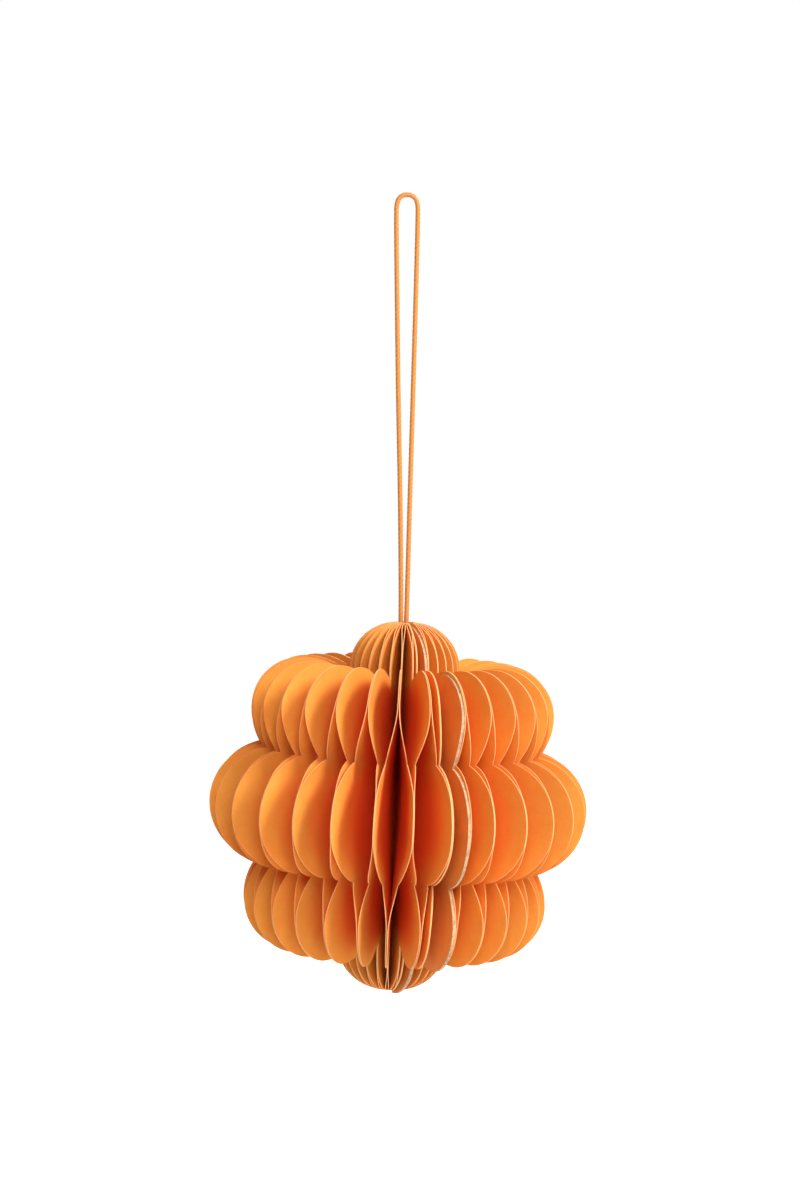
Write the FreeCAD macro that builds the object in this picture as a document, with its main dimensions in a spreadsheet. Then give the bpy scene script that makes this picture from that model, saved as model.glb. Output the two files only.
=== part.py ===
import FreeCAD, Part
import math
import os

import Sketcher
from FreeCAD import Placement, Rotation, Vector

# Hanging paper ball. Die-cut paper leaves with one and the same half outline stand round a glued
# spine. Each leaf is glued to one neighbour in the middle ring and to the other neighbour above
# and below it, and bends from one glue line to the other in between, so the leaves make cells.
# The stack is opened all the way round: its board cover and its end card leave a narrow seam at
# the front. Millimetres, Z up along the spine. The origin is the inner top of the cord loop.

doc = FreeCAD.newDocument("paper_ball")

# Driving dimensions

SIZES = [
    ("leaf_total", 54, "paper leaves between the cover and the end card"),
    ("paper_gauge", 0.2, "thickness of a leaf"),
    ("board_gauge", 0.75, "thickness of the cover"),
    ("card_gauge", 0.4, "thickness of the end card"),
    ("spine_radius", 2.2, "inner edges of the leaves stand at this radius"),
    ("middle_centre", 34.5, "radius at which the middle lobe's arc has its centre"),
    ("middle_round", 15.6, "radius of the middle lobe's arc"),
    ("side_reach", 40.2, "largest radius of the upper and lower lobes"),
    ("side_height", 25.2, "height of that reach above the ball's centre"),
    ("side_inner_round", 17.4, "radius of the arc from that reach to the middle lobe"),
    ("side_outer_round", 13.3, "radius of the arc from that reach to the lobe's top"),
    ("side_crown_round", 18.6, "radius of the flatter arc from that top in to the end dome"),
    ("dome_top", 49.0, "height of the leaves' upper ends above the ball's centre"),
    ("dome_reach", 14.2, "radius at which the end dome meets the flatter arc"),
    ("first_line", 23.5, "degrees from the front to the first outer glue line"),
    ("line_span", 352.9, "degrees from the first to the last glue line"),
    ("crowding", 5.5, "degrees by which the leaves crowd towards the seam"),
    ("crowding_twice", 0.8, "the same, twice round the ball"),
    ("cover_line", 21.5, "degrees from the front to the cover in the middle ring"),
    ("end_line", 14.0, "degrees from the front to the end card above and below"),
    ("spine_seam", 13.0, "degrees from the front to the seam at the spine"),
    ("spine_gap", 4.0, "degrees that the seam is open at the spine"),
    ("upper_foot", 31.0, "height where the upper glue lines end"),
    ("middle_top", 7.6, "height where the middle glue lines begin"),
    ("middle_foot", -3.0, "height where the middle glue lines end"),
    ("lower_top", -28.0, "height where the lower glue lines begin"),
    ("cover_drop", 0.8, "the cover was glued this much lower than the leaves"),
    ("glue_setback", 3.3, "the spine's glue ends this far inside the leaves' ends"),
    ("hang_height", 160.9, "height of the hanging point above the ball's centre"),
    ("hang_side", 5.0, "the spine stands this far to the right of the hanging point"),
    ("cord_foot", 4.6, "the cord's ends stand upright this far above the glue"),
    ("cord_width", 1.3, "diameter of the waxed cord"),
]

sheet = doc.addObject("Spreadsheet::Sheet", "Sizes")
for row, (alias, number, meaning) in enumerate(SIZES, start=1):
    sheet.set(f"A{row}", meaning)
    sheet.set(f"B{row}", str(number))
    sheet.setAlias(f"B{row}", alias)
doc.recompute()


def size(alias):
    return float(getattr(sheet, alias))


# The one cut outline of a leaf, as a thick blank in the leaf's own frame: x outwards from the
# spine, y along its thickness, z up. The upper half is drawn and mirrored.

BLANK_WIDTH = 16.0  # more than a leaf's bends and lean take up sideways
BLANK_MARGIN = 2.0  # the leaves are drawn this much taller than the outline, then cut
FRONT = 90.0  # degrees from the x axis back to the front, which faces -Y


def circles_meet(first, first_radius, second, second_radius):
    """The outer crossing of two circles, as a first guess for the drawing."""
    apart = second - first
    along = (apart.Length**2 + first_radius**2 - second_radius**2) / (2 * apart.Length)
    across = math.sqrt(first_radius**2 - along**2)
    step = Vector(apart.x / apart.Length, apart.y / apart.Length, 0)
    return first + step * along + Vector(step.y, -step.x, 0) * across


def point_on_circle(centre, radius, reach):
    """The upper point of a circle at that radius from the spine's axis."""
    return Vector(reach, centre.y + math.sqrt(radius**2 - (reach - centre.x) ** 2), 0)


def circle_below(top, side):
    """Centre of the circle straight below its top that also runs through a point beside it."""
    step = side - top
    return top + Vector(0, (step.x**2 + step.y**2) / (2 * step.y), 0)


def arc(sketch, centre, radius, start, end):
    """Adds the arc that runs anticlockwise from start to end and returns its number."""
    angles = [math.atan2(point.y - centre.y, point.x - centre.x) for point in (start, end)]
    circle = Part.Circle(centre, Vector(0, 0, 1), radius)
    return sketch.addGeometry(Part.ArcOfCircle(circle, angles[0], angles[1]), False)


def hold(sketch, kind, geometry, name, point=None):
    """Binds a radius, or the distance of a point from the axes, to a cell of the sheet."""
    if point is None:
        number = sketch.addConstraint(Sketcher.Constraint(kind, geometry, size(name)))
    else:
        number = sketch.addConstraint(Sketcher.Constraint(kind, -1, 1, geometry, point, size(name)))
    sketch.setExpression(f"Constraints[{number}]", f"Sizes.{name}")


def leaf_outline(body):
    plane = next(item for item in body.Origin.OriginFeatures if item.Role == "XZ_Plane")
    sketch = body.newObject("Sketcher::SketchObject", "LeafOutline")
    sketch.AttachmentSupport = [(plane, "")]
    sketch.MapMode = "FlatFace"

    middle = Vector(size("middle_centre"), 0, 0)
    reach = Vector(size("side_reach"), size("side_height"), 0)
    inner = reach - Vector(size("side_inner_round"), 0, 0)
    outer = reach - Vector(size("side_outer_round"), 0, 0)
    crown_top = outer + Vector(0, size("side_outer_round"), 0)
    crown = crown_top - Vector(0, size("side_crown_round"), 0)
    tip = Vector(middle.x + size("middle_round"), 0, 0)
    top = Vector(size("spine_radius"), size("dome_top"), 0)
    foot = Vector(size("spine_radius"), 0, 0)
    lower_notch = circles_meet(middle, size("middle_round"), inner, size("side_inner_round"))
    upper_notch = point_on_circle(crown, size("side_crown_round"), size("dome_reach"))
    dome = circle_below(top, upper_notch)

    base = sketch.addGeometry(Part.LineSegment(foot, tip), False)
    middle_arc = arc(sketch, middle, size("middle_round"), tip, lower_notch)
    inner_arc = arc(sketch, inner, size("side_inner_round"), lower_notch, reach)
    outer_arc = arc(sketch, outer, size("side_outer_round"), reach, crown_top)
    crown_arc = arc(sketch, crown, size("side_crown_round"), crown_top, upper_notch)
    dome_arc = arc(sketch, dome, top.y - dome.y, upper_notch, top)
    spine = sketch.addGeometry(Part.LineSegment(top, foot), False)

    # Points of an edge: 1 is its start, 2 its end and 3 its centre
    chain = [base, middle_arc, inner_arc, outer_arc, crown_arc, dome_arc, spine]
    for edge, following in zip(chain, chain[1:] + chain[:1]):
        smooth = edge in (inner_arc, outer_arc)
        kind = "Tangent" if smooth else "Coincident"
        sketch.addConstraint(Sketcher.Constraint(kind, edge, 2, following, 1))
    sketch.addConstraint(Sketcher.Constraint("Horizontal", base))
    sketch.addConstraint(Sketcher.Constraint("Vertical", spine))
    sketch.addConstraint(Sketcher.Constraint("PointOnObject", base, 1, -1))
    sketch.addConstraint(Sketcher.Constraint("PointOnObject", middle_arc, 3, -1))
    sketch.addConstraint(Sketcher.Constraint("Vertical", outer_arc, 3, outer_arc, 2))
    sketch.addConstraint(Sketcher.Constraint("Vertical", dome_arc, 3, spine, 1))
    hold(sketch, "DistanceX", base, "spine_radius", 1)
    hold(sketch, "DistanceX", middle_arc, "middle_centre", 3)
    hold(sketch, "Radius", middle_arc, "middle_round")
    hold(sketch, "Radius", inner_arc, "side_inner_round")
    hold(sketch, "Radius", outer_arc, "side_outer_round")
    hold(sketch, "Radius", crown_arc, "side_crown_round")
    hold(sketch, "DistanceX", outer_arc, "side_reach", 1)
    hold(sketch, "DistanceY", outer_arc, "side_height", 1)
    hold(sketch, "DistanceY", outer_arc, "side_height", 3)
    hold(sketch, "DistanceY", spine, "dome_top", 1)
    hold(sketch, "DistanceX", dome_arc, "dome_reach", 1)
    return sketch


blank = doc.addObject("PartDesign::Body", "LeafBlank")
half = blank.newObject("PartDesign::Pad", "HalfBlank")
half.Profile = leaf_outline(blank)
half.Length = BLANK_WIDTH
half.Midplane = True
doc.recompute()
whole = blank.newObject("PartDesign::Mirrored", "WholeBlank")
whole.Originals = [half]
ground = next(item for item in blank.Origin.OriginFeatures if item.Role == "XY_Plane")
whole.MirrorPlane = (ground, [""])
blank.Tip = whole
doc.recompute()

# Glue lines. Line 0 lies between the cover and the first leaf, and line n between leaf n and the
# one after it. Odd lines are glued above and below the middle ring, even lines in it. The last
# number is the free outer face of the end card.

LEAVES = int(size("leaf_total"))
LAST_LINE = LEAVES  # between the last leaf and the end card
RIM = 60.0  # a radius beyond every leaf, to which the sides of a leaf are drawn
INSIDE = 0.5  # the sides of a leaf are drawn this much inside its inner edge


def line_azimuth(line):
    """Degrees from the front, anticlockwise from above, where a glue line stands at the rim."""
    if line == 0:
        return size("cover_line")
    if line > LAST_LINE:
        return size("end_line") + 360.0
    share = (line - 1) / (LAST_LINE - 1)
    crowd = size("crowding") * math.sin(2 * math.pi * share)
    crowd += size("crowding_twice") * math.sin(4 * math.pi * share)
    return size("first_line") + size("line_span") * share - crowd


def spine_azimuth(line):
    """Degrees where a glue line starts at the spine: the stack stands there leaf against leaf."""
    half_gap = size("spine_gap") / 2
    cover_turn = math.degrees(size("board_gauge") / size("spine_radius"))
    card_turn = math.degrees(size("card_gauge") / size("spine_radius"))
    first = size("spine_seam") + half_gap + cover_turn
    last = size("spine_seam") + 360.0 - half_gap - card_turn
    if line > LAST_LINE:
        return last + card_turn
    return first + (last - first) * line / LAST_LINE


def polar(radius, azimuth):
    turn = math.radians(azimuth)
    return Vector(radius * math.cos(turn), radius * math.sin(turn), 0)


def glue_plane(line, facing):
    """The two ends of a glue line and its sideways direction, seen in a leaf facing that way."""
    start = polar(size("spine_radius"), spine_azimuth(line) - facing)
    end = polar(RIM, line_azimuth(line) - facing)
    along = (end - start).normalize()
    start = start - along * INSIDE
    return start, end, Vector(-along.y, along.x, 0)


def leaf_state(line, facing, gauge, before_line):
    """Corners of a leaf's section while it is glued at one line: near start, near end, far start
    and far end. The leaf lies before the line, or after it."""
    start, end, across = glue_plane(line, facing)
    if before_line:
        return start - across * gauge, end - across * gauge, start, end
    return start, end, start + across * gauge, end + across * gauge


def bend(corner_from, corner_to, height_from, height_to):
    """The S-curve of one corner of the section between two glue lines."""
    third = (height_to - height_from) / 3
    poles = [
        corner_from + Vector(0, 0, height_from),
        corner_from + Vector(0, 0, height_from + third),
        corner_to + Vector(0, 0, height_to - third),
        corner_to + Vector(0, 0, height_to),
    ]
    curve = Part.BezierCurve()
    curve.setPoles(poles)
    return curve.toShape()


def upright(corner, height_from, height_to):
    return Part.makeLine(corner + Vector(0, 0, height_from), corner + Vector(0, 0, height_to))


def wavy_band(outer_state, middle_state, lift):
    """A leaf before its outline is cut: flat at each glue line and bent in between."""
    top = size("dome_top") + BLANK_MARGIN
    levels = [
        (-top, size("lower_top"), outer_state, outer_state),
        (size("lower_top"), size("middle_foot"), outer_state, middle_state),
        (size("middle_foot"), size("middle_top"), middle_state, middle_state),
        (size("middle_top"), size("upper_foot"), middle_state, outer_state),
        (size("upper_foot"), top, outer_state, outer_state),
    ]
    faces = []
    for low, high, state_low, state_high in levels:
        edges = []
        for corner_low, corner_high in zip(state_low, state_high):
            if state_low is state_high:
                edges.append(upright(corner_low, low + lift, high + lift))
            else:
                edges.append(bend(corner_low, corner_high, low + lift, high + lift))
        near_start, near_end, far_start, far_end = edges
        for one, other in (
            (near_start, near_end),
            (near_end, far_end),
            (far_end, far_start),
            (far_start, near_start),
        ):
            faces.append(Part.makeRuledSurface(one, other))
    for height in (-top, top):
        near_start, near_end, far_start, far_end = [
            corner + Vector(0, 0, height + lift) for corner in outer_state
        ]
        loop = [near_start, near_end, far_end, far_start, near_start]
        faces.append(Part.Face(Part.makePolygon(loop)))
    shell = Part.makeShell(faces)
    shell.sewShape()
    solid = Part.makeSolid(shell)
    if solid.Volume < 0:
        solid.reverse()
    return solid


def add_leaf(name, facing, outer_state, middle_state, drop=0.0):
    """Cuts a band to the common outline and turns it to its place round the spine."""
    band = doc.addObject("Part::Feature", name + "_band")
    band.Shape = wavy_band(outer_state, middle_state, drop)
    leaf = doc.addObject("Part::Common", name)
    leaf.Base = blank
    leaf.Tool = band
    leaf.Refine = False
    leaf.Placement = Placement(
        Vector(size("hang_side"), 0, -size("hang_height") - drop),
        Rotation(Vector(0, 0, 1), facing - FRONT),
    )
    return leaf


def leaf_lines(number):
    """The outer and the middle glue line of a leaf, and whether it lies before the outer one."""
    if number % 2:
        return number, number - 1, True
    return number - 1, number, False


def paper_leaf(number, name, gauge):
    outer_line, middle_line, before_outer = leaf_lines(number)
    facing = (line_azimuth(outer_line) + line_azimuth(middle_line)) / 2
    outer_state = leaf_state(outer_line, facing, gauge, before_outer)
    middle_state = leaf_state(middle_line, facing, gauge, not before_outer)
    return add_leaf(name, facing, outer_state, middle_state)


def thicken(state, gauge):
    """The section of a sheet of another gauge that lies against the near face of this one."""
    near_start, near_end = state[0], state[1]
    along = (near_end - near_start).normalize()
    back = Vector(along.y, -along.x, 0) * gauge
    return near_start + back, near_end + back, near_start, near_end


def board_cover():
    """The cover lies all over the near face of the first leaf."""
    facing = (line_azimuth(1) + line_azimuth(0)) / 2
    outer_state = leaf_state(1, facing, size("paper_gauge"), True)
    middle_state = leaf_state(0, facing, size("paper_gauge"), False)
    gauge = size("board_gauge")
    states = [thicken(state, gauge) for state in (outer_state, middle_state)]
    return add_leaf("cover_board", facing, states[0], states[1], size("cover_drop"))


# The set glue inside the spine, into which the cord's two ends run


def glued_spine():
    glue = doc.addObject("Part::Cylinder", "spine_glue")
    glue.setExpression("Radius", "Sizes.spine_radius")
    reach = "(Sizes.dome_top - Sizes.glue_setback)"
    glue.setExpression("Height", "2 * " + reach)
    glue.setExpression("Placement.Base.x", "Sizes.hang_side")
    glue.setExpression("Placement.Base.z", "-Sizes.hang_height - " + reach)
    return glue


# The cord: one loop of waxed cord, both ends in the spine's glue. Its route goes up the right leg,
# round the top and down the left leg. Both legs hang almost straight.

GLUE_TOP = size("dome_top") - size("glue_setback") - size("hang_height")
FOOT_TOP = GLUE_TOP + size("cord_foot")
RIGHT_LEG = size("hang_side") - 0.08
LEFT_LEG = size("hang_side") - 1.5
CORD_ROUTE = [
    Vector(RIGHT_LEG, 0.0, GLUE_TOP),
    Vector(RIGHT_LEG, 0.0, FOOT_TOP),
    Vector(4.35, -0.1, -79.5),
    Vector(3.93, 0.1, -53.2),
    Vector(3.5, 0.1, -27.0),
    Vector(3.08, 0.0, -5.8),
    Vector(2.9, 0.0, -1.0),
    Vector(1.3, 0.0, 0.65),
    Vector(-1.1, 0.0, 0.65),
    Vector(-2.7, 0.0, -1.0),
    Vector(-2.6, 0.0, -5.8),
    Vector(-1.42, -0.1, -27.0),
    Vector(0.1, -0.1, -53.2),
    Vector(1.84, 0.1, -79.5),
    Vector(LEFT_LEG, 0.0, FOOT_TOP),
    Vector(LEFT_LEG, 0.0, GLUE_TOP),
]
ARC_SHARE = 0.45  # of the shorter run beside a point, taken up by the arc there


def cord_path(points):
    """Straight runs joined by tangent arcs, and the radius of each arc."""
    edges = []
    radii = []
    reached = points[0]
    for before, point, after in zip(points, points[1:], points[2:]):
        to_before = (before - point).normalize()
        to_after = (after - point).normalize()
        setback = ARC_SHARE * min((before - point).Length, (after - point).Length)
        half_turn = (math.pi - to_before.getAngle(to_after)) / 2
        radii.append(setback / math.tan(half_turn))
        start = point + to_before * setback
        end = point + to_after * setback
        inward = (to_before + to_after).normalize()
        middle = point + inward * (radii[-1] / math.cos(half_turn) - radii[-1])
        edges.append(Part.LineSegment(reached, start).toShape())
        edges.append(Part.Arc(start, middle, end).toShape())
        reached = end
    edges.append(Part.LineSegment(reached, points[-1]).toShape())
    return Part.Wire(edges), radii


def cord_loop():
    path, radii = cord_path(CORD_ROUTE)
    radius = size("cord_width") / 2
    section = Part.Wire([Part.makeCircle(radius, CORD_ROUTE[0], CORD_ROUTE[1] - CORD_ROUTE[0])])
    cord = doc.addObject("Part::Feature", "hanging_cord")
    cord.Shape = path.makePipeShell([section], True, True)
    cord.Placement = Placement()
    expected = math.pi * radius**2 * path.Length
    print("cord length", round(path.Length, 2), "volume", round(cord.Shape.Volume, 3),
          "expected", round(expected, 3))
    print("cord radii", [round(value, 2) for value in radii])
    return cord


nodes = [paper_leaf(number, f"leaf_{number:02d}", size("paper_gauge"))
         for number in range(1, LEAVES + 1)]
nodes.append(paper_leaf(LEAVES + 1, "end_card", size("card_gauge")))
nodes.append(board_cover())
nodes.append(glued_spine())
nodes.append(cord_loop())
doc.recompute()

for item in doc.Objects:
    if "Invalid" in item.State or "Error" in item.State:
        raise RuntimeError(f"{item.Label} failed")
for node in nodes:
    if node.Shape.isNull() or not node.Shape.isValid() or len(node.Shape.Solids) != 1:
        raise RuntimeError(f"{node.Label} is not one valid solid")

os.makedirs("parts", exist_ok=True)
for node in nodes:
    node.Shape.exportStep(f"parts/{node.Label}.step")
print(len(nodes), "pieces written")
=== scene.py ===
import bpy
import numpy as np
from mathutils import Matrix, Vector


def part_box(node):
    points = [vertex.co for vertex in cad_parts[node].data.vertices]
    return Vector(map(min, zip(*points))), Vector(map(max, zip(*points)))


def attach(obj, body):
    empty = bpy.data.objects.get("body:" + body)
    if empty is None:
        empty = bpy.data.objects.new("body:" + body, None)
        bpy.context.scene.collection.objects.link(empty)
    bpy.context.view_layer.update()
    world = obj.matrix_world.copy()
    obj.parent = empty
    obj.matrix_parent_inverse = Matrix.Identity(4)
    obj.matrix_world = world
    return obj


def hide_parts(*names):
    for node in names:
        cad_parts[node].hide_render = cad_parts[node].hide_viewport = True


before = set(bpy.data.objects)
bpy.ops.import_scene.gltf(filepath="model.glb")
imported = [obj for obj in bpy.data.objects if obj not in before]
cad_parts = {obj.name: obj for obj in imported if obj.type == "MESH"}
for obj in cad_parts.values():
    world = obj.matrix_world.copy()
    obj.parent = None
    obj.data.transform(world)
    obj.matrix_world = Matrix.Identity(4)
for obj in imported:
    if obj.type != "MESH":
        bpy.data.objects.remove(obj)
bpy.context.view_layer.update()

# A hanging paper ball: die-cut leaves glued into cells round a spine, on a waxed cord loop.
# Sizes are in millimetres and turned into metres by mm. Azimuths are degrees from the front,
# which faces -Y, anticlockwise from above. Heights on a leaf count from the ball's middle.

mm = 0.001

spineLow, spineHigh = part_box("spine_glue")
ballCentre = np.array((spineLow + spineHigh) / 2)  # the glue runs through the middle of the ball


# Camera, at the photograph's place: a little above the ball, leaning as the ball hangs

cameraSet = {
    "place": (4.9, -793.6, -57.1),
    "pitchDown": 3.53,
    "yaw": -0.14,
    "roll": 2.63,
    "lens": 90.0,
}


def makeCamera(cfg):
    pitch, yaw, roll = (np.radians(cfg[key]) for key in ("pitchDown", "yaw", "roll"))
    ahead = Vector((np.sin(yaw) * np.cos(pitch), np.cos(yaw) * np.cos(pitch), -np.sin(pitch)))
    right = Vector((np.cos(yaw), -np.sin(yaw), 0))
    upward = right.cross(ahead)
    turnedRight = right * np.cos(roll) + upward * np.sin(roll)
    turnedUp = upward * np.cos(roll) - right * np.sin(roll)
    data = bpy.data.cameras.new("photoCamera")
    data.lens = cfg["lens"]
    camera = bpy.data.objects.new("photoCamera", data)
    bpy.context.collection.objects.link(camera)
    turn = Matrix((turnedRight, turnedUp, -ahead)).transposed().to_4x4()
    camera.matrix_world = Matrix.Translation(Vector(cfg["place"]) * mm) @ turn
    bpy.context.scene.camera = camera


makeCamera(cameraSet)
print("camera placed")


# Mesh helpers

# 0 below 0, 1 above 1 and 3v^2 - 2v^3 in between.
def smoothStep(value):
    clipped = np.clip(value, 0, 1)
    return clipped * clipped * (3 - 2 * clipped)


# Quads between the neighbours of a grid of rows x columns points.
def gridFaces(rows, columns, start=0):
    index = start + np.arange(rows * columns).reshape(rows, columns)
    corners = (index[:-1, :-1], index[:-1, 1:], index[1:, 1:], index[1:, :-1])
    return np.stack([corner.ravel() for corner in corners], axis=1)


# Point numbers once round the border of a grid.
def gridBorder(rows, columns):
    index = np.arange(rows * columns).reshape(rows, columns)
    return np.concatenate([index[0, :-1], index[:-1, -1], index[-1, :0:-1], index[:0:-1, 0]])


# A mesh object from arrays of points in metres and quads, with named values per point.
def makePiece(name, points, faces, marks, material, sharpAngle=40):
    mesh = bpy.data.meshes.new(name)
    mesh.from_pydata(points.tolist(), [], faces.tolist())
    for key, values in marks.items():
        mesh.attributes.new(key, "FLOAT", "POINT").data.foreach_set("value", values)
    mesh.polygons.foreach_set("use_smooth", np.ones(len(mesh.polygons), dtype=bool))
    mesh.set_sharp_from_angle(angle=np.radians(sharpAngle))
    mesh.materials.append(material)
    piece = bpy.data.objects.new(name, mesh)
    bpy.context.collection.objects.link(piece)
    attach(piece, "root")
    return piece


# Material helpers

def newMaterial(name):
    material = bpy.data.materials.new(name)
    material.use_nodes = True
    nodes = material.node_tree.nodes
    return material, nodes, material.node_tree.links, nodes["Principled BSDF"]


def addNoise(nodes, links, coordinate, scale, detail, roughness=0.55):
    noise = nodes.new("ShaderNodeTexNoise")
    noise.inputs["Scale"].default_value = scale
    noise.inputs["Detail"].default_value = detail
    noise.inputs["Roughness"].default_value = roughness
    links.new(coordinate, noise.inputs["Vector"])
    return noise.outputs["Fac"]


def addRange(nodes, links, value, fromLow, fromHigh, toLow, toHigh):
    stretch = nodes.new("ShaderNodeMapRange")
    for key, number in zip(("From Min", "From Max", "To Min", "To Max"),
                           (fromLow, fromHigh, toLow, toHigh)):
        stretch.inputs[key].default_value = number
    links.new(value, stretch.inputs["Value"])
    return stretch.outputs["Result"]


# A colour mix; first and second are sockets or plain colours.
def addMix(nodes, links, factor, first, second, blend="MIX"):
    mix = nodes.new("ShaderNodeMix")
    mix.data_type = "RGBA"
    mix.blend_type = blend
    for socket, value in (("Factor", factor), ("A", first), ("B", second)):
        kinds = [item for item in mix.inputs if item.name == socket and item.enabled]
        if isinstance(value, bpy.types.NodeSocket):
            links.new(value, kinds[0])
        elif socket == "Factor":
            kinds[0].default_value = value
        else:
            kinds[0].default_value = (*value, 1)
    return next(item for item in mix.outputs if item.enabled)


def addMath(nodes, links, operation, first, second):
    step = nodes.new("ShaderNodeMath")
    step.operation = operation
    for socket, value in zip(step.inputs, (first, second)):
        if isinstance(value, bpy.types.NodeSocket):
            links.new(value, socket)
        else:
            socket.default_value = value
    return step.outputs[0]


def addBump(nodes, links, principled, height, distance, strength):
    bump = nodes.new("ShaderNodeBump")
    bump.inputs["Distance"].default_value = distance
    bump.inputs["Strength"].default_value = strength
    links.new(height, bump.inputs["Height"])
    links.new(bump.outputs["Normal"], principled.inputs["Normal"])


def readMark(nodes, name):
    mark = nodes.new("ShaderNodeAttribute")
    mark.attribute_name = name
    return mark.outputs["Fac"]


# Dyed craft paper: orange all through, with the cut edge rubbed pale; painted on it are a redder
# colour towards the spine and a faint glow, both for light bounced between the leaves

leafPaper = {
    "face": (0.95, 0.43, 0.075),
    "faceDeep": (0.94, 0.38, 0.06),  # the faces are mottled between these two
    # inner: painted bounce colour, redder deep in the cells where light bounces between the leaves
    "inner": (0.98, 0.18, 0.03),     # towards the spine
    "cut": (0.94, 0.56, 0.23),
    "through": (0.98, 0.30, 0.03),   # light that comes through from behind a leaf
    "throughShare": 0.26,
    # painted glow: an emission that stands in for light passed on from leaf to leaf
    "paintedGlow": (1.0, 0.09, 0.03),     # faint glow, for light passed on from leaf to leaf
    "paintedGlowStrength": 0.035,
    "mottleScale": 260.0,
    "mottle": (0.3, 0.7),
    "fibreScale": 2600.0,
    "speckle": (0.93, 1.07),         # darkest and lightest fibre
    "roughness": 0.75,
    "specular": 0.1,
    "bump": (0.00004, 0.35),         # depth in metres, and strength
}


def paperMaterial(name, cfg):
    material, nodes, links, principled = newMaterial(name)
    place = nodes.new("ShaderNodeTexCoord").outputs["Object"]
    mottle = addNoise(nodes, links, place, cfg["mottleScale"], 4)
    fibre = addNoise(nodes, links, place, cfg["fibreScale"], 3, 0.7)
    blotch = addRange(nodes, links, mottle, *cfg["mottle"], 0, 1)
    face = addMix(nodes, links, blotch, cfg["face"], cfg["faceDeep"])
    # painted bounce colour: the face turns redder towards the spine, for light bounced between the
    # leaves
    face = addMix(nodes, links, readMark(nodes, "inward"), face, cfg["inner"])
    speckle = addRange(nodes, links, fibre, 0.25, 0.75, *cfg["speckle"])
    tone = addMath(nodes, links, "MULTIPLY", readMark(nodes, "tone"), speckle)
    toned = nodes.new("ShaderNodeVectorMath")
    toned.operation = "SCALE"
    links.new(face, toned.inputs[0])
    links.new(tone, toned.inputs["Scale"])
    worn = addMath(nodes, links, "MULTIPLY", readMark(nodes, "cutEdge"), speckle)
    colour = addMix(nodes, links, worn, toned.outputs[0], cfg["cut"])
    links.new(colour, principled.inputs["Base Color"])
    principled.inputs["Roughness"].default_value = cfg["roughness"]
    principled.inputs["Specular IOR Level"].default_value = cfg["specular"]
    addBump(nodes, links, principled, fibre, *cfg["bump"])
    # Painted glow: a faint emission deep in the cells, standing in for light bounced from leaf to
    # leaf
    principled.inputs["Emission Color"].default_value = (*cfg["paintedGlow"], 1)
    paintedGlow = addMath(nodes, links, "MULTIPLY", readMark(nodes, "paintedGlow"), cfg["paintedGlowStrength"])
    links.new(paintedGlow, principled.inputs["Emission Strength"])
    glow = nodes.new("ShaderNodeBsdfTranslucent")
    glow.inputs["Color"].default_value = (*cfg["through"], 1)
    sheet = nodes.new("ShaderNodeMixShader")
    sheet.inputs[0].default_value = cfg["throughShare"]
    links.new(principled.outputs[0], sheet.inputs[1])
    links.new(glow.outputs[0], sheet.inputs[2])
    links.new(sheet.outputs[0], nodes["Material Output"].inputs["Surface"])
    return material


# The cover's board: duller, with grey layers at its cut edge

coverBoard = {
    "face": (0.76, 0.25, 0.04),
    "faceDeep": (0.68, 0.21, 0.03),
    "cut": (0.62, 0.37, 0.19),
    "cutGrey": (0.32, 0.20, 0.13),
    "mottleScale": 180.0,
    "mottle": (0.3, 0.7),
    "fibreScale": 1800.0,
    "layerScale": 900.0,
    "layers": (0.45, 0.62),
    "roughness": 0.7,
    "bump": (0.00006, 0.4),
}


def boardMaterial(name, cfg):
    material, nodes, links, principled = newMaterial(name)
    place = nodes.new("ShaderNodeTexCoord").outputs["Object"]
    mottle = addNoise(nodes, links, place, cfg["mottleScale"], 4)
    fibre = addNoise(nodes, links, place, cfg["fibreScale"], 3, 0.7)
    face = addMix(nodes, links, addRange(nodes, links, mottle, *cfg["mottle"], 0, 1),
                  cfg["face"], cfg["faceDeep"])
    streaks = addNoise(nodes, links, place, cfg["layerScale"], 5, 0.7)
    cut = addMix(nodes, links, addRange(nodes, links, streaks, *cfg["layers"], 0, 1),
                 cfg["cut"], cfg["cutGrey"])
    colour = addMix(nodes, links, readMark(nodes, "cutEdge"), face, cut)
    links.new(colour, principled.inputs["Base Color"])
    principled.inputs["Roughness"].default_value = cfg["roughness"]
    addBump(nodes, links, principled, fibre, *cfg["bump"])
    return material


# Waxed cord: orange strands with small dark flecks, and painted shade: a darker colour in the
# valleys between the strands

waxedCord = {
    "strand": (0.61, 0.22, 0.032),
    # painted shade: darker colour in the valleys between the strands
    "paintedValleyShade": (0.505, 0.166, 0.022),
    "fleck": (0.34, 0.12, 0.02),
    "fleckScale": 1500.0,
    "flecks": (0.66, 0.72),  # only the peaks of the noise are flecks
    "fleckShare": 0.8,
    "roughness": 0.5,
    "bump": (0.00004, 0.3),
}


def cordMaterial(name, cfg):
    material, nodes, links, principled = newMaterial(name)
    place = nodes.new("ShaderNodeTexCoord").outputs["Object"]
    # painted shade: the valleys between the strands are coloured darker than the crowns
    strand = addMix(nodes, links, readMark(nodes, "crown"), cfg["paintedValleyShade"], cfg["strand"])
    flecks = addNoise(nodes, links, place, cfg["fleckScale"], 2)
    few = addRange(nodes, links, flecks, *cfg["flecks"], 0, cfg["fleckShare"])
    colour = addMix(nodes, links, few, strand, cfg["fleck"])
    links.new(colour, principled.inputs["Base Color"])
    principled.inputs["Roughness"].default_value = cfg["roughness"]
    addBump(nodes, links, principled, flecks, *cfg["bump"])
    return material


# Set glue in the spine

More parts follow.
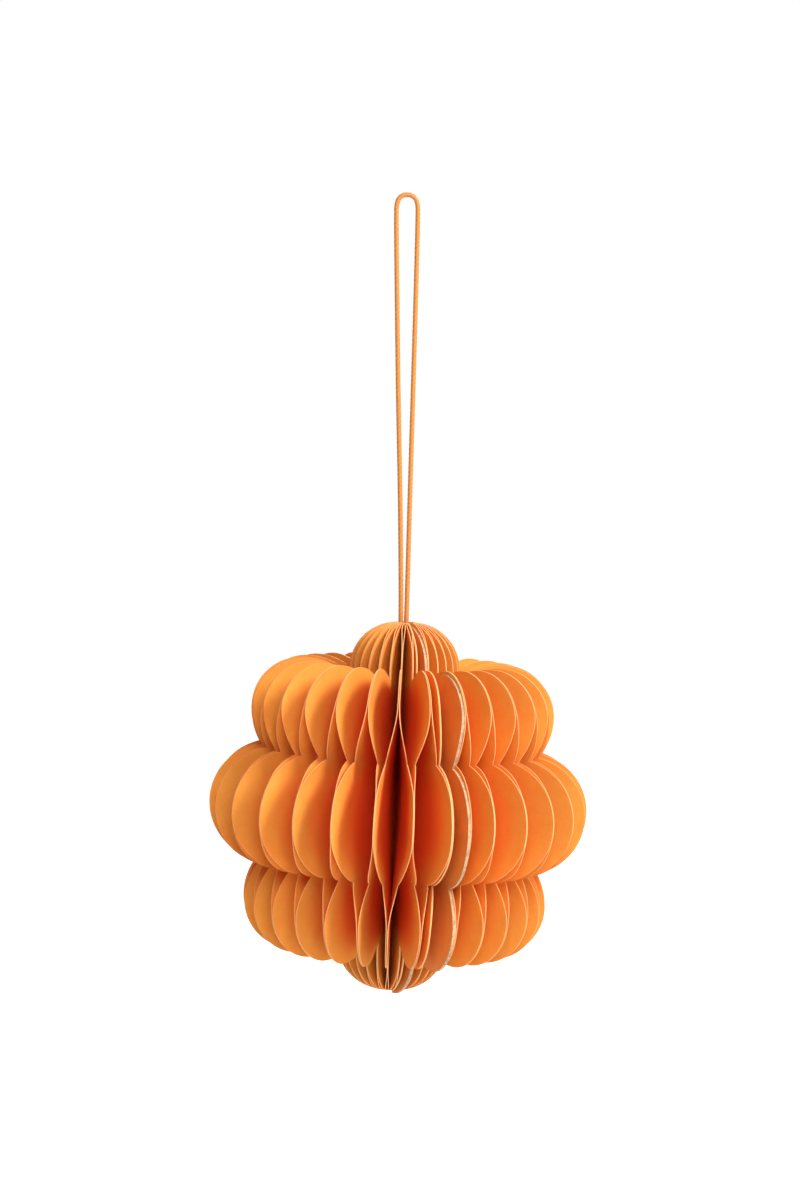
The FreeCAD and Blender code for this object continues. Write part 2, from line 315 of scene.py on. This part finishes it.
spineGlue = {
    "clear": (0.34, 0.10, 0.03),
    "cloudy": (0.52, 0.24, 0.10),
    "cloudScale": 500.0,
    "roughness": 0.35,
    "bump": (0.0001, 0.4),
}


def glueMaterial(name, cfg):
    material, nodes, links, principled = newMaterial(name)
    place = nodes.new("ShaderNodeTexCoord").outputs["Object"]
    clouds = addNoise(nodes, links, place, cfg["cloudScale"], 4)
    links.new(addMix(nodes, links, clouds, cfg["clear"], cfg["cloudy"]),
              principled.inputs["Base Color"])
    principled.inputs["Roughness"].default_value = cfg["roughness"]
    addBump(nodes, links, principled, clouds, *cfg["bump"])
    return material


paper = paperMaterial("leafPaper", leafPaper)
board = boardMaterial("coverBoard", coverBoard)
cordSkin = cordMaterial("waxedCord", waxedCord)
glue = glueMaterial("spineGlue", spineGlue)
print("materials made")


# The cord: one loop, both ends on the glue of the spine

cordSet = {
    "route": [
        (4.92, 0.0, -115.2),
        (4.92, 0.0, -110.6),
        (4.35, -0.1, -79.5),
        (3.93, 0.1, -53.2),
        (3.5, 0.1, -27.0),
        (3.08, 0.0, -5.8),
        (2.9, 0.0, -1.0),
        (1.3, 0.0, 0.65),
        (-1.1, 0.0, 0.65),
        (-2.7, 0.0, -1.0),
        (-2.6, 0.0, -5.8),
        (-1.42, -0.1, -27.0),
        (0.1, -0.1, -53.2),
        (1.84, 0.1, -79.5),
        (3.5, 0.0, -110.6),
        (3.5, 0.0, -115.2),
    ],
    "width": 1.3,
    "strands": 3,
    "relief": 0.06,      # depth of the valleys between strands, as a share of the radius
    "twistLength": 3.6,  # along the cord for one full turn of the strands
    "ringStep": 0.3,
    "around": 18,
}


# Points along the smooth spline that the route's points steer, in metres.
def cordLine(cfg):
    data = bpy.data.curves.new("cordLine", "CURVE")
    data.dimensions = "3D"
    data.resolution_u = 64
    spline = data.splines.new("NURBS")
    spline.points.add(len(cfg["route"]) - 1)
    for point, place in zip(spline.points, cfg["route"]):
        point.co = (*(np.array(place) * mm), 1)
    spline.order_u = 3
    spline.use_endpoint_u = True
    holder = bpy.data.objects.new("cordLine", data)
    bpy.context.collection.objects.link(holder)
    bpy.context.view_layer.update()
    mesh = bpy.data.meshes.new_from_object(holder)
    points = np.empty(len(mesh.vertices) * 3)
    mesh.vertices.foreach_get("co", points)
    bpy.data.objects.remove(holder)
    return points.reshape(-1, 3)


# Rings round the line, with the radius rising and falling three times round a ring and
# turning with the length along the cord, which gives three twisted strands.
def makeCord(cfg):
    line = cordLine(cfg)
    steps = np.linalg.norm(np.diff(line, axis=0), axis=1)
    reach = np.concatenate([[0], np.cumsum(steps)])
    length = reach[-1]
    along = np.linspace(0, length, int(length / (cfg["ringStep"] * mm)) + 1)
    centre = np.stack([np.interp(along, reach, line[:, axis]) for axis in range(3)], axis=1)
    ahead = np.gradient(centre, along, axis=0)
    ahead /= np.linalg.norm(ahead, axis=1, keepdims=True)
    across = np.cross(ahead, (0.0, 1.0, 0.0))
    across /= np.linalg.norm(across, axis=1, keepdims=True)
    other = np.cross(ahead, across)
    angle = np.linspace(0, 2 * np.pi, cfg["around"], endpoint=False)
    turn = 2 * np.pi * along[:, None] / (cfg["twistLength"] * mm)
    crown = np.abs(np.cos(cfg["strands"] / 2 * (angle[None, :] - turn)))
    radius = cfg["width"] / 2 * mm * (1 - cfg["relief"] * (1 - crown))
    rings = (centre[:, None, :]
             + radius[..., None] * (np.cos(angle)[None, :, None] * across[:, None, :]
                                    + np.sin(angle)[None, :, None] * other[:, None, :]))
    rows, columns = radius.shape
    index = np.arange(rows * columns).reshape(rows, columns)
    following = np.roll(index, -1, axis=1)
    quads = np.stack([index[:-1], following[:-1], following[1:], index[1:]], axis=-1)
    points = np.concatenate([rings.reshape(-1, 3), centre[[0, -1]]])
    faces = quads.reshape(-1, 4).tolist()
    faces += [[rows * columns, b, a] for a, b in zip(index[0], following[0])]
    faces += [[rows * columns + 1, a, b] for a, b in zip(index[-1], following[-1])]
    marks = {"crown": np.concatenate([crown.ravel(), [1, 1]]).astype(np.float32)}
    piece = makePiece("hangingCord", points, np.array(faces, dtype=object), marks, cordSkin, 60)
    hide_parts("hanging_cord")
    print("cord", round(length / mm, 1), "mm")


makeCord(cordSet)


# The leaves: one die-cut half outline, glued at its two neighbours in turn

leafCut = {
    "spine": 2.2,
    "middleCentre": 34.5,
    "middleRound": 15.6,
    "sideReach": 40.2,
    "sideHeight": 25.2,
    "sideInnerRound": 17.4,
    "sideOuterRound": 13.3,
    "sideCrownRound": 18.6,
    "domeHeight": 36.6,
    "domeRound": 12.4,
    "step": 0.9,        # spacing of the points along the outline
    "rayEnd": 1,        # the rays start this far inside the ends of the leaf
    "raySpread": 1.3,   # above 1, their starts crowd towards the middle
    "rings": (0, 0.2, 0.4, 0.6, 0.78, 0.92),
    "wornBand": 0.05,   # width of the pale band along the cut edge
    "bandShare": 0.3,   # of a short ray, the most that the band takes
}

glueLines = {
    "leaves": 54,
    "first": 23.5,
    "span": 352.9,
    "crowding": 5.5,
    "crowdingTwice": 0.8,
    "coverLine": 21.5,
    "endLine": 14.0,
    "spineSeam": 13.0,
    "spineGap": 4.0,
    "upperFoot": 31.0,
    "middleTop": 7.6,
    "middleFoot": -3.0,
    "lowerTop": -28.0,
    "rim": 60.0,
}

sheets = {"paper": 0.2, "card": 0.4, "board": 0.75, "coverDrop": 0.8, "coverBow": 0.45}


# The outer crossing of two circles.
def circlesMeet(first, firstRadius, second, secondRadius):
    apart = second - first
    distance = np.hypot(*apart)
    along = (distance**2 + firstRadius**2 - secondRadius**2) / (2 * distance)
    across = np.sqrt(firstRadius**2 - along**2)
    step = apart / distance
    return first + step * along + np.array([step[1], -step[0]]) * across


# Points on the arc from start to end, without the end itself.
def arcPoints(centre, radius, start, end, step):
    first, last = (np.arctan2(*(point - centre)[::-1]) for point in (start, end))
    count = max(int(np.ceil(radius * (last - first) / step)), 2)
    angle = np.linspace(first, last, count, endpoint=False)
    return centre + radius * np.stack([np.cos(angle), np.sin(angle)], axis=1)


# Radius and height along the cut edge from the lower end of the spine to the upper one.
def leafOutline(cfg):
    middle = np.array([cfg["middleCentre"], 0.0])
    reach = np.array([cfg["sideReach"], cfg["sideHeight"]])
    inner = reach - (cfg["sideInnerRound"], 0)
    outer = reach - (cfg["sideOuterRound"], 0)
    crownTop = outer + (0, cfg["sideOuterRound"])
    crown = crownTop - (0, cfg["sideCrownRound"])
    dome = np.array([cfg["spine"], cfg["domeHeight"]])
    tip = middle + (cfg["middleRound"], 0)
    top = dome + (0, cfg["domeRound"])
    lowNotch = circlesMeet(middle, cfg["middleRound"], inner, cfg["sideInnerRound"])
    highNotch = circlesMeet(crown, cfg["sideCrownRound"], dome, cfg["domeRound"])
    half = np.concatenate([
        arcPoints(middle, cfg["middleRound"], tip, lowNotch, cfg["step"]),
        arcPoints(inner, cfg["sideInnerRound"], lowNotch, reach, cfg["step"]),
        arcPoints(outer, cfg["sideOuterRound"], reach, crownTop, cfg["step"]),
        arcPoints(crown, cfg["sideCrownRound"], crownTop, highNotch, cfg["step"]),
        arcPoints(dome, cfg["domeRound"], highNotch, top, cfg["step"]),
        top[None, :],
    ])
    return np.concatenate([half[:0:-1] * (1, -1), half])


# Rays from the spine to each point of the outline, crossed by rings: radius and height.
def leafGrid(cfg):
    outline = leafOutline(cfg)
    steps = np.hypot(*np.diff(outline, axis=0).T)
    share = np.concatenate([[0], np.cumsum(steps)])
    share = share / share[-1] * 2 - 1
    top = outline[-1, 1]
    startHeight = (top - cfg["rayEnd"]) * np.sign(share) * np.abs(share) ** cfg["raySpread"]
    start = np.stack([np.full_like(share, cfg["spine"]), startHeight], axis=1)
    rayLength = np.hypot(*(outline - start).T)
    inside = 1 - np.minimum(cfg["wornBand"] / rayLength, cfg["bandShare"])
    reach = np.concatenate([inside[:, None] * np.array(cfg["rings"]), inside[:, None],
                            np.ones_like(inside)[:, None]], axis=1)
    grid = start[:, None, :] + reach[..., None] * (outline - start)[:, None, :]
    return grid[..., 0], grid[..., 1]


gridRadius, gridHeight = leafGrid(leafCut)
rimDistance = np.hypot(gridRadius[:, -1:] - gridRadius, gridHeight[:, -1:] - gridHeight)
rimRadius = gridRadius[:, -1]
notchRows = 1 + np.flatnonzero((rimRadius[1:-1] < rimRadius[:-2])
                               & (rimRadius[1:-1] <= rimRadius[2:]))
print("leaf grid", gridRadius.shape)


# Where the paper is painted redder and where it is painted to glow, both for light bounced between
# the leaves deep in the cells:
# from and run count in from the cut edge, and core and coreRun out from the spine's axis

depth = {
    "inward": {"from": 2, "run": 17},
    "paintedGlow": {"from": 3, "run": 10, "core": 9, "coreRun": 12},
}

# painted bounce colour: its share grows inward from the cut edge
inwardMark = smoothStep((rimDistance - depth["inward"]["from"]) / depth["inward"]["run"])
# painted glow: grows in from the cut edge and out from the spine's axis
paintedGlowMark = smoothStep((rimDistance - depth["paintedGlow"]["from"]) / depth["paintedGlow"]["run"])
paintedGlowMark = paintedGlowMark * smoothStep((gridRadius - depth["paintedGlow"]["core"])
                                     / depth["paintedGlow"]["coreRun"])


# Where a glue line stands at the rim, in degrees from the front.
def lineAzimuth(line, cfg):
    if line == 0:
        return cfg["coverLine"]
    if line > cfg["leaves"]:
        return cfg["endLine"] + 360
    share = (line - 1) / (cfg["leaves"] - 1)
    crowd = cfg["crowding"] * np.sin(2 * np.pi * share)
    crowd += cfg["crowdingTwice"] * np.sin(4 * np.pi * share)
    return cfg["first"] + cfg["span"] * share - crowd


# Where the stack of leaves puts a glue line at the spine.
def spineAzimuth(line, cfg):
    coverTurn = np.degrees(sheets["board"] / leafCut["spine"])
    cardTurn = np.degrees(sheets["card"] / leafCut["spine"])
    first = cfg["spineSeam"] + cfg["spineGap"] / 2 + coverTurn
    last = cfg["spineSeam"] + 360 - cfg["spineGap"] / 2 - cardTurn
    if line > cfg["leaves"]:
        return last + cardTurn
    return first + (last - first) * line / cfg["leaves"]


def polar(radius, azimuth):
    return radius * np.array([np.cos(np.radians(azimuth)), np.sin(np.radians(azimuth))])


# Ends of the near and the far side of a leaf's section where it is glued at one line.
def leafState(line, facing, gauge, beforeLine):
    start = polar(leafCut["spine"], spineAzimuth(line, glueLines) - facing)
    end = polar(glueLines["rim"], lineAzimuth(line, glueLines) - facing)
    along = (end - start) / np.hypot(*(end - start))
    across = np.array([-along[1], along[0]]) * gauge
    if beforeLine:
        return np.array([start - across, end - across, start, end])
    return np.array([start, end, start + across, end + across])


# 0 where a leaf is glued above and below, 1 in the middle ring, and smooth in between.
def gluedShare(height, cfg):
    upper = smoothStep((cfg["upperFoot"] - height) / (cfg["upperFoot"] - cfg["middleTop"]))
    lower = smoothStep((height - cfg["lowerTop"]) / (cfg["middleFoot"] - cfg["lowerTop"]))
    return np.minimum(upper, lower)


# How hand gluing leaves each line a little off: turned, and slightly bowed along its height

handWork = {
    "seed": 7,
    "reach": 50,         # from the spine to the rim, over which the drifts grow
    "height": 49,        # from the middle to the ends, over which the waves below run
    "turn": 0.35,        # degrees, one spread
    "twist": 0.3,        # degrees, more between the upper and lower ends of the same line
    "bow": 0.16,         # at the rim
    "bowWave": 2.4,      # radians from the middle to an end
    "flutter": 0.22,     # at the rim where a leaf is free
    "flutterWave": 7,
    "mouth": 0.32,       # by which a glued pair opens at the ends of the domes
    "mouthHeight": 42,   # where that begins, and over how much it grows
    "mouthRise": 7,
    "mouthRadius": 2.6,
    "mouthRun": 5,
    "lip": 0.07,         # by which a glued pair opens along its cut edge
    "lipRadius": 20,     # from the spine, where that begins, and over how much it grows
    "lipRun": 20,
    "tone": 0.035,
}


# Random values for every line and leaf, always drawn in this order.
def drawHandWork(cfg, leaves):
    random = np.random.default_rng(cfg["seed"])
    count = leaves + 2
    return {
        "turn": np.radians(random.normal(0, cfg["turn"], count)),
        "twist": np.radians(random.normal(0, cfg["twist"], count)),
        "bow": random.normal(0, cfg["bow"], count),
        "bowPhase": random.uniform(0, 2 * np.pi, count),
        "flutter": random.normal(0, cfg["flutter"], count),
        "flutterPhase": random.uniform(0, 2 * np.pi, count),
        "lip": random.uniform(0.3, 1.6, count) * cfg["lip"],
        "mouth": random.uniform(0.5, 1.4, count) * cfg["mouth"],
        "tone": 1 + random.normal(0, cfg["tone"], count),
    }


hand = drawHandWork(handWork, glueLines["leaves"])


# Sideways drift of a glue line: a turn, a twist with height and a long bow, all zero at
# the spine and largest at the rim.
def lineDrift(line, radius, height, cfg):
    out = (radius - leafCut["spine"]) / cfg["reach"]
    turn = hand["turn"][line] + hand["twist"][line] * height / cfg["height"]
    wave = np.sin(height / cfg["height"] * cfg["bowWave"] + hand["bowPhase"][line])
    bow = hand["bow"][line] * wave
    return radius * turn * out + bow * out**2


# Sideways places of the near and the far side over the grid. Each side is a straight line
# from spine to rim, whose ends slide from one glue line to the other with the glued share.
def leafSides(states, lines, leaf, beforeOuter, height, cfg):
    share = gluedShare(height, glueLines)
    drift = ((1 - share) * lineDrift(lines[0], gridRadius, height, cfg)
             + share * lineDrift(lines[1], gridRadius, height, cfg))
    out = (gridRadius - leafCut["spine"]) / cfg["reach"]
    free = 4 * share * (1 - share)
    wave = np.sin(height / cfg["height"] * cfg["flutterWave"] + hand["flutterPhase"][leaf])
    drift = drift + hand["flutter"][leaf] * free * wave * out**2
    side = -1 if beforeOuter else 1
    endOpening = smoothStep((np.abs(height) - cfg["mouthHeight"]) / cfg["mouthRise"])
    endOpening = endOpening * smoothStep((gridRadius - cfg["mouthRadius"]) / cfg["mouthRun"])
    rimOpening = smoothStep((out * cfg["reach"] - cfg["lipRadius"]) / cfg["lipRun"])
    rimOpening = rimOpening * (1 - share) * (1 - free)
    outerLine = lines[0]
    drift = drift + side * (hand["mouth"][outerLine] * endOpening
                            + hand["lip"][outerLine] * rimOpening)
    sides = []
    for near in (0, 2):
        start = (1 - share)[..., None] * states[0][near] + share[..., None] * states[1][near]
        end = (1 - share)[..., None] * states[0][near + 1] + share[..., None] * states[1][near + 1]
        slope = (end[..., 1] - start[..., 1]) / (end[..., 0] - start[..., 0])
        sides.append(start[..., 1] + slope * (gridRadius - start[..., 0]) + drift)
    return sides


# Both sides of the sheet as grids, joined all round by the cut edge.
def makeLeaf(name, node, facing, sides, drop, material, tone):
    rows, columns = gridRadius.shape
    near, far = (np.stack([gridRadius, side, gridHeight - drop], axis=-1).reshape(-1, 3)
                 for side in sides)
    turn = np.radians(facing - 90)
    points = np.concatenate([near, far])
    x = points[:, 0] * np.cos(turn) - points[:, 1] * np.sin(turn)
    y = points[:, 0] * np.sin(turn) + points[:, 1] * np.cos(turn)
    points = np.stack([x, y, points[:, 2]], axis=1) * mm + ballCentre
    count = rows * columns
    nearFaces = gridFaces(rows, columns)
    farFaces = gridFaces(rows, columns, count)[:, ::-1]
    border = gridBorder(rows, columns)
    following = np.roll(border, -1)
    edgeFaces = np.stack([border, border + count, following + count, following], axis=1)
    faces = np.concatenate([nearFaces, farFaces, edgeFaces])
    cut = np.zeros((rows, columns), dtype=np.float32)
    cut[:, -1] = 1
    marks = {"cutEdge": np.tile(cut.ravel(), 2),
             "inward": np.tile(inwardMark.ravel(), 2).astype(np.float32),
             "paintedGlow": np.tile(paintedGlowMark.ravel(), 2).astype(np.float32),
             "tone": np.full(2 * count, tone, dtype=np.float32)}
    piece = makePiece(name, points, faces, marks, material)
    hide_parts(node)
    notch = notchRows * columns + columns - 1
    return (points[notch] + points[notch + count]) / 2


# The outer and the middle glue line of a leaf, and whether it lies before the outer one.
def leafLines(number):
    if number % 2:
        return (number, number - 1), True
    return (number - 1, number), False


def paperLeaf(number, name, node, gauge):
    lines, beforeOuter = leafLines(number)
    facing = (lineAzimuth(lines[0], glueLines) + lineAzimuth(lines[1], glueLines)) / 2
    states = (leafState(lines[0], facing, gauge, beforeOuter),
              leafState(lines[1], facing, gauge, not beforeOuter))
    sides = leafSides(states, lines, number, beforeOuter, gridHeight, handWork)
    return makeLeaf(name, node, facing, sides, 0, paper, hand["tone"][number])


notches = [paperLeaf(number, f"paperLeaf_{number:02d}", f"leaf_{number:02d}",
                     sheets["paper"])
           for number in range(1, glueLines["leaves"] + 1)]
notches.append(paperLeaf(glueLines["leaves"] + 1, "endCard", "end_card", sheets["card"]))
print("leaves made")


# The board lies on the near side of the first leaf, from the same glue lines.
def makeCover():
    lines, beforeOuter = leafLines(1)
    facing = (lineAzimuth(1, glueLines) + lineAzimuth(0, glueLines)) / 2
    states = (leafState(1, facing, sheets["paper"], True),
              leafState(0, facing, sheets["paper"], False))
    height = gridHeight - sheets["coverDrop"]
    leafNear = leafSides(states, lines, 1, beforeOuter, height, handWork)[0]
    share = gluedShare(height, glueLines)
    out = (gridRadius - leafCut["spine"]) / handWork["reach"]
    far = leafNear - sheets["coverBow"] * 4 * share * (1 - share) * out * (height > 0)
    makeLeaf("coverBoard", "cover_board", facing, (far - sheets["board"], far),
             sheets["coverDrop"], board, 1.0)


makeCover()
print("cover made")


# Short torn fibres, left by the die in the notches of the leaves

fibreSet = {
    "seed": 11,
    "each": 2,
    "length": (0.3, 1.3),
    "width": 0.09,
    "taper": 0.7,      # share of the width lost from root to tip
    "spread": 0.55,
    "curl": 0.35,
    "steps": 6,
    "around": 5,
}


# Thin tapered tubes: each leaves its notch outwards, turned and curled at random.
def makeFibres(cfg, starts):
    random = np.random.default_rng(cfg["seed"])
    starts = np.repeat(starts, cfg["each"], axis=0)
    count = len(starts)
    outward = (starts - ballCentre) * (1, 1, 0)
    outward /= np.linalg.norm(outward, axis=1, keepdims=True)
    ahead = outward + random.normal(0, cfg["spread"], (count, 3))
    ahead /= np.linalg.norm(ahead, axis=1, keepdims=True)
    curl = random.normal(0, cfg["curl"], (count, 3))
    length = random.uniform(*cfg["length"], count)[:, None, None] * mm
    along = np.linspace(0, 1, cfg["steps"])[None, :, None]
    centre = starts[:, None] + length * (ahead[:, None] * along + curl[:, None] * along**2)
    across = np.cross(ahead, (0, 0, 1.0))
    across /= np.linalg.norm(across, axis=1, keepdims=True)
    other = np.cross(ahead, across)
    angle = np.linspace(0, 2 * np.pi, cfg["around"], endpoint=False)[None, None, :, None]
    radius = (cfg["width"] / 2 * mm * (1 - cfg["taper"] * along))[:, :, None]
    points = centre[:, :, None] + radius * (np.cos(angle) * across[:, None, None]
                                            + np.sin(angle) * other[:, None, None])
    index = np.arange(points.size // 3).reshape(points.shape[:3])
    following = np.roll(index, -1, axis=2)
    sides = np.stack([index[:, :-1], following[:, :-1], following[:, 1:], index[:, 1:]], axis=-1)
    faces = sides.reshape(-1, 4).tolist() + index[:, 0, ::-1].tolist() + index[:, -1].tolist()
    size = points.size // 3
    marks = {"cutEdge": np.ones(size, dtype=np.float32), "tone": np.ones(size, dtype=np.float32)}
    piece = makePiece("cutFibres", points.reshape(-1, 3), np.array(faces, dtype=object), marks,
                      paper)


makeFibres(fibreSet, np.concatenate(notches))
print("fibres made")

# The spine's glue keeps its CAD solid, with its own material
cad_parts["spine_glue"].data.materials.clear()
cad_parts["spine_glue"].data.materials.append(glue)


# Floor, light and white surroundings

studio = {
    "floorHeight": -0.42,
    "floorSize": 6.0,
    "floorColour": (0.88, 0.88, 0.88),
    "floorGlow": 0.8,  # only for the camera, and in a gloss or through glass
    "ambient": 0.2,
    "white": 1.0,      # what the camera sees of the world
    "lamps": {
        # name: (place in metres from the ball's centre, size, power)
        "keyLight": ((0.8, -0.5, 0.8), 0.45, 18.0),
        "frontLight": ((0.1, -1.12, 0.72), 0.6, 9.8),
        "rimLight": ((0.5, 0.8, 0.5), 0.5, 7.0),
    },
}


# 1 for what the camera sees straight, in a gloss or through glass.
def cameraMask(nodes, links):
    path = nodes.new("ShaderNodeLightPath")
    seen = addMath(nodes, links, "MAXIMUM", path.outputs["Is Camera Ray"],
                   path.outputs["Is Glossy Ray"])
    return addMath(nodes, links, "MAXIMUM", seen, path.outputs["Is Transmission Ray"])


def makeStudio(cfg):
    world = bpy.data.worlds.new("whiteRoom")
    bpy.context.scene.world = world
    world.use_nodes = True
    nodes, links = world.node_tree.nodes, world.node_tree.links
    background = nodes["Background"]
    background.inputs["Color"].default_value = (1, 1, 1, 1)
    strength = addRange(nodes, links, cameraMask(nodes, links), 0, 1, cfg["ambient"], cfg["white"])
    links.new(strength, background.inputs["Strength"])

    material, nodes, links, principled = newMaterial("paleFloor")
    principled.inputs["Base Color"].default_value = (*cfg["floorColour"], 1)
    principled.inputs["Roughness"].default_value = 0.9
    principled.inputs["Emission Color"].default_value = (1, 1, 1, 1)
    glow = addRange(nodes, links, cameraMask(nodes, links), 0, 1, 0, cfg["floorGlow"])
    links.new(glow, principled.inputs["Emission Strength"])
    half = cfg["floorSize"] / 2
    mesh = bpy.data.meshes.new("floor")
    height = cfg["floorHeight"]
    corners = [(-half, -half, height), (half, -half, height), (half, half, height),
               (-half, half, height)]
    mesh.from_pydata(corners, [], [(0, 1, 2, 3)])
    mesh.materials.append(material)
    floor = bpy.data.objects.new("floor", mesh)
    bpy.context.collection.objects.link(floor)

    centre = Vector(ballCentre)
    for name, (offset, side, power) in cfg["lamps"].items():
        lamp = bpy.data.lights.new(name, "AREA")
        lamp.size = side
        lamp.energy = power
        holder = bpy.data.objects.new(name, lamp)
        holder.location = centre + Vector(offset)
        holder.rotation_euler = (-Vector(offset)).to_track_quat("-Z", "Y").to_euler()
        bpy.context.collection.objects.link(holder)
    bpy.context.scene.view_settings.view_transform = "Standard"


makeStudio(studio)
print("studio made")
